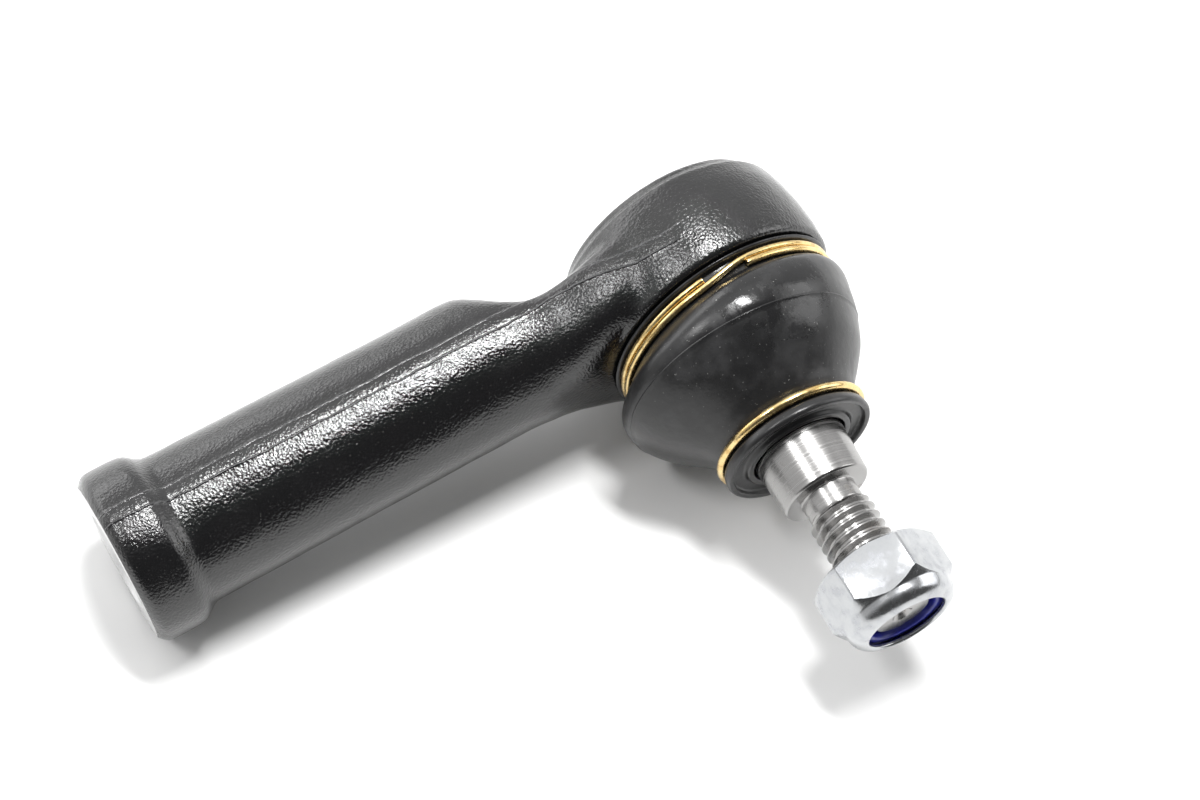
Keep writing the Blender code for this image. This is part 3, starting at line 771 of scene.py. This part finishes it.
print("rings")
finishPiece(windRing("lipRing", upperRing, headFrame), "housing", "gold_wire", "wire", "boot_upper_ring")
finishPiece(windRing("neckRing", lowerRing, studFrame), "boot_lip", "gold_wire", "wire", "boot_lower_ring")

# stud

stud = {
    "ballRadius": 9.5,
    "flatRadius": 4.0,
    "neckRadius": 5.4,
    "pinEnd": 35.75,
    "pinEndRadius": 6.76,
    "reliefRadius": 4.25,
    "reliefEnd": 38.75,
    "end": 56.9,
}
studThread = {"pitch": 1.5, "rootRadius": 4.08, "crestRadius": 4.95, "start": 39.0, "end": stud["end"],
              "steps": 72}


def ballOutline():
    # ball with a flat back, from the flat round to the neck
    ball = stud["ballRadius"]
    low = asin(stud["flatRadius"] / ball) - pi / 2
    high = pi / 2 - asin(stud["neckRadius"] / ball)
    angles = [low + (high - low) * step / 40 for step in range(41)]
    return [Vector((ball * cos(angle), ball * sin(angle))) for angle in angles]


def buildStud():
    ball = ballOutline()
    neck, relief = stud["neckRadius"], stud["reliefRadius"]
    root, crest = studThread["rootRadius"], studThread["crestRadius"]
    pinEnd, reliefEnd, end = stud["pinEnd"], stud["reliefEnd"], stud["end"]
    shaft = roundCorners([
        (neck, 8.0), (neck, 11.5, 1.5), (6.95, 16.4, 1.2), (7.65, 18.0, 0.8),
        (stud["pinEndRadius"], pinEnd - 0.3, 0.1), (6.5, pinEnd, 0.12), (relief, pinEnd, 0.35),
        (relief, reliefEnd, 0.35), (root, 39.3), (root, end - 0.9), (0, end - 0.9)], False, 4)[1:]
    outline = [Vector((0, ball[0].y))] + ball + shaft
    piece = makePiece("ballStudBody", turn(outline, 144, closed=False), studFrame)
    piece.data.materials.append(finishes["groundSteel"])
    # the thread is trimmed flat at both ends, with a chamfer, and has a lathe centre in its end
    bar = makePiece("threadBar", threadBar(studThread), studFrame)
    bar.data.materials.append(finishes["groundSteel"])
    trim = [(0, 38.6), (4.1, 38.6), (crest, 39.7), (crest + 0.01, end - 0.9), (4.2, end - 0.02), (1.6, end),
            (0, end - 1.3)]
    combine(bar, tool("threadTrim", trim, 96, studFrame, "groundSteel"), "INTERSECT")
    combine(piece, bar, "UNION")
    piece.name = "taperStud"
    piece.data.shade_smooth()
    piece.data.set_sharp_from_angle(angle=radians(32))
    finishPiece(piece, "stud", "bright_steel", "groundSteel", "ball_stud")


print("stud")
buildStud()

# nut and its nylon collar

nut = {
    "flats": 17.0,
    "turn": radians(-15),
    "height": 10.5,
    "back": 47.95,
    "edge": 0.14,
    "domeRound": 2.3,
    "pocketDepth": 3.6,       # holds the nylon collar
}


def nutOutline():
    back, front = nut["back"], nut["back"] + nut["height"]
    corner = nut["flats"] / sqrt(3)
    pocket = front - nut["pocketDepth"]
    bend = nut["domeRound"]
    dome = [(6.1 + bend * cos(radians(angle)), front - bend + bend * sin(radians(angle)))
            for angle in range(8, 86, 7)]
    first = [(5.55, back), (8.15, back, 0.1), (corner + 0.2, back + 1.12), (corner + 0.2, front - 4.6),
             (8.5, front - 2.75, 0.25), *dome]
    rim = [(6.25, front - 0.02, 0.12), (6.05, front - 0.25, 0.15), (6.05, front - 0.7, 0.15),
           (7.1, front - 0.9), (7.1, pocket), (5.05, pocket), (5.05, back + 0.5)]
    return roundCorners(first + rim, True, 3)


def buildNut():
    piece = makePiece("hexLockNut", turn(nutOutline(), 144), studFrame)
    piece.data.materials.append(finishes["zinc"])
    bm = bmesh.new()
    radius = nut["flats"] / sqrt(3) * mm
    bmesh.ops.create_cone(bm, cap_ends=True, segments=6, radius1=radius, radius2=radius, depth=14 * mm)
    upright = [edge for edge in bm.edges if abs(edge.verts[0].co.z - edge.verts[1].co.z) > mm]
    bmesh.ops.bevel(bm, geom=upright, offset=0.35 * mm, segments=4, profile=0.5, affect="EDGES", material=-1)
    bmesh.ops.rotate(bm, verts=bm.verts, matrix=Matrix.Rotation(nut["turn"], 3, "Z"))
    bmesh.ops.translate(bm, verts=bm.verts, vec=(0, 0, (nut["back"] + nut["height"] / 2) * mm))
    hexagon = makePiece("hexagon", bm, studFrame)
    hexagon.data.materials.append(finishes["zinc"])
    combine(piece, hexagon, "INTERSECT")
    bm = bmesh.new()
    bm.from_mesh(piece.data)
    bmesh.ops.remove_doubles(bm, verts=bm.verts, dist=1e-6)
    bmesh.ops.dissolve_degenerate(bm, edges=bm.edges, dist=1e-6)
    bm.to_mesh(piece.data)
    bm.free()
    soft = piece.modifiers.new("soft", "BEVEL")
    soft.limit_method = "ANGLE"
    soft.angle_limit = radians(14)
    soft.width = nut["edge"] * mm
    soft.segments = 2
    soft.profile = 0.5
    applyModifiers(piece)
    piece.data.shade_smooth()
    piece.data.set_sharp_from_angle(angle=radians(30))
    finishPiece(piece, "nut", "zinc_plate", "zinc", "lock_nut")


print("nut")
buildNut()
insert = {"bore": 5.05, "radius": 6.9, "back": 55.05, "front": 57.45}


def insertOutline():
    bore, radius, back, front = insert["bore"], insert["radius"], insert["back"], insert["front"]
    return roundCorners([(bore, back), (radius, back, 0.2), (radius, front - 0.2, 0.2),
                         (bore + 0.2, front, 0.25), (bore, front - 0.35, 0.2)], True)


collar = makePiece("nylonCollar", turn(insertOutline(), 120), studFrame)
finishPiece(collar, "nut_travel", "blue_nylon", "blueNylon", "nylon_insert")

hiddenPieces = {"ball_seat": "seatAcetal", "pressure_pad": "padAcetal", "preload_spring": "springSteel"}
for node, finish in hiddenPieces.items():
    frame["nodes"][node].data.materials.clear()
    frame["nodes"][node].data.materials.append(finishes[finish])

# floor, light and camera

print("studio")
studio = {
    "floorColour": (0.86, 0.86, 0.855),
    "paleColour": (0.875, 0.875, 0.87),
    "headRadius": 19.8,
    "collarRadius": 13.3,
    "restSpan": 91,              # between the two places where the part touches the floor
    "floorDrop": 19.85,
    "world": (0.09, 1.05),       # dim in front of the part, bright behind it
    "view": {"azimuth": -30.30, "elevation": 61.48, "roll": -1.22, "distance": 369.249, "lens": 73.193,
             "across": -12.591, "up": -20.244},
}
bm = bmesh.new()
bmesh.ops.create_grid(bm, x_segments=1, y_segments=1, size=6.0)
# the part rests on its head and on its collar, so the floor slopes a little towards the collar
slope = asin((studio["headRadius"] - studio["collarRadius"]) / studio["restSpan"])
drop = Matrix.Translation((0, 0, -studio["floorDrop"] * mm))
lie = Matrix.Translation(ballCentre) @ Matrix.Rotation(slope, 4, "Y") @ drop
floor = makePiece("floor", bm, lie)
material, tree, shader, place = newMaterial("paleFloor", Roughness=0.55)
tone = fade(tree, noiseNode(tree, place, 60.0), 0.3, 0.7)
paper = mixColour(tree, tone, studio["floorColour"], studio["paleColour"])
tree.links.new(paper, shader.inputs["Base Color"])
floor.data.materials.append(material)


def addLight(name, direction, distance, size, power):
    light = bpy.data.lights.new(name, "AREA")
    light.shape = "RECTANGLE"
    light.size, light.size_y = size
    light.energy = power
    lamp = bpy.data.objects.new(name, light)
    scene.collection.objects.link(lamp)
    toward = Vector(direction).normalized()
    lamp.location = Vector((0, 0, 0.02)) + toward * distance
    lamp.rotation_euler = toward.to_track_quat("Z", "Y").to_euler()


addLight("overheadBox", (0.24, 0.1, 0.96), 1.1, (0.36, 0.13), 11)
addLight("sideStrip", (-0.42, 0.2, 0.87), 1.1, (0.3, 0.12), 3)
addLight("topBox", (0.1, 0.3, 1.0), 1.2, (1.6, 1.1), 1.4)
addLight("backBox", (-0.35, 0.9, 0.35), 1.4, (1.6, 0.5), 6)
addLight("rightBox", (0.95, -0.25, 0.4), 1.3, (0.8, 0.8), 5)
world = bpy.data.worlds.new("studio")
world.use_nodes = True
tree = world.node_tree
aside = addNode(tree, "SeparateXYZ", {"Vector": addNode(tree, "TexCoord").outputs["Generated"]}).outputs["Y"]
tree.links.new(fade(tree, aside, -0.55, 0.6, *studio["world"]), tree.nodes["Background"].inputs["Strength"])
tree.nodes["Background"].inputs["Color"].default_value = (1, 1, 1, 1)
scene.world = world
scene.view_settings.view_transform = "Standard"

view = studio["view"]
azimuth, elevation = radians(view["azimuth"]), radians(view["elevation"])
back = Vector((sin(azimuth) * cos(elevation), -cos(azimuth) * cos(elevation), sin(elevation)))
right = Vector((cos(azimuth), sin(azimuth), 0))
up = back.cross(right)
target = Vector((ballCentre.x, shankAxisY, ballCentre.z)) + (right * view["across"] + up * view["up"]) * mm
turned = Matrix((right, up, back)).transposed() @ Matrix.Rotation(radians(view["roll"]), 3, "Z")
lens = bpy.data.cameras.new("camera")
lens.lens = view["lens"]
lens.sensor_width = 36
lens.clip_start = 0.01
camera = bpy.data.objects.new("camera", lens)
camera.matrix_world = Matrix.Translation(target + back * view["distance"] * mm) @ turned.to_4x4()
scene.collection.objects.link(camera)
scene.camera = camera
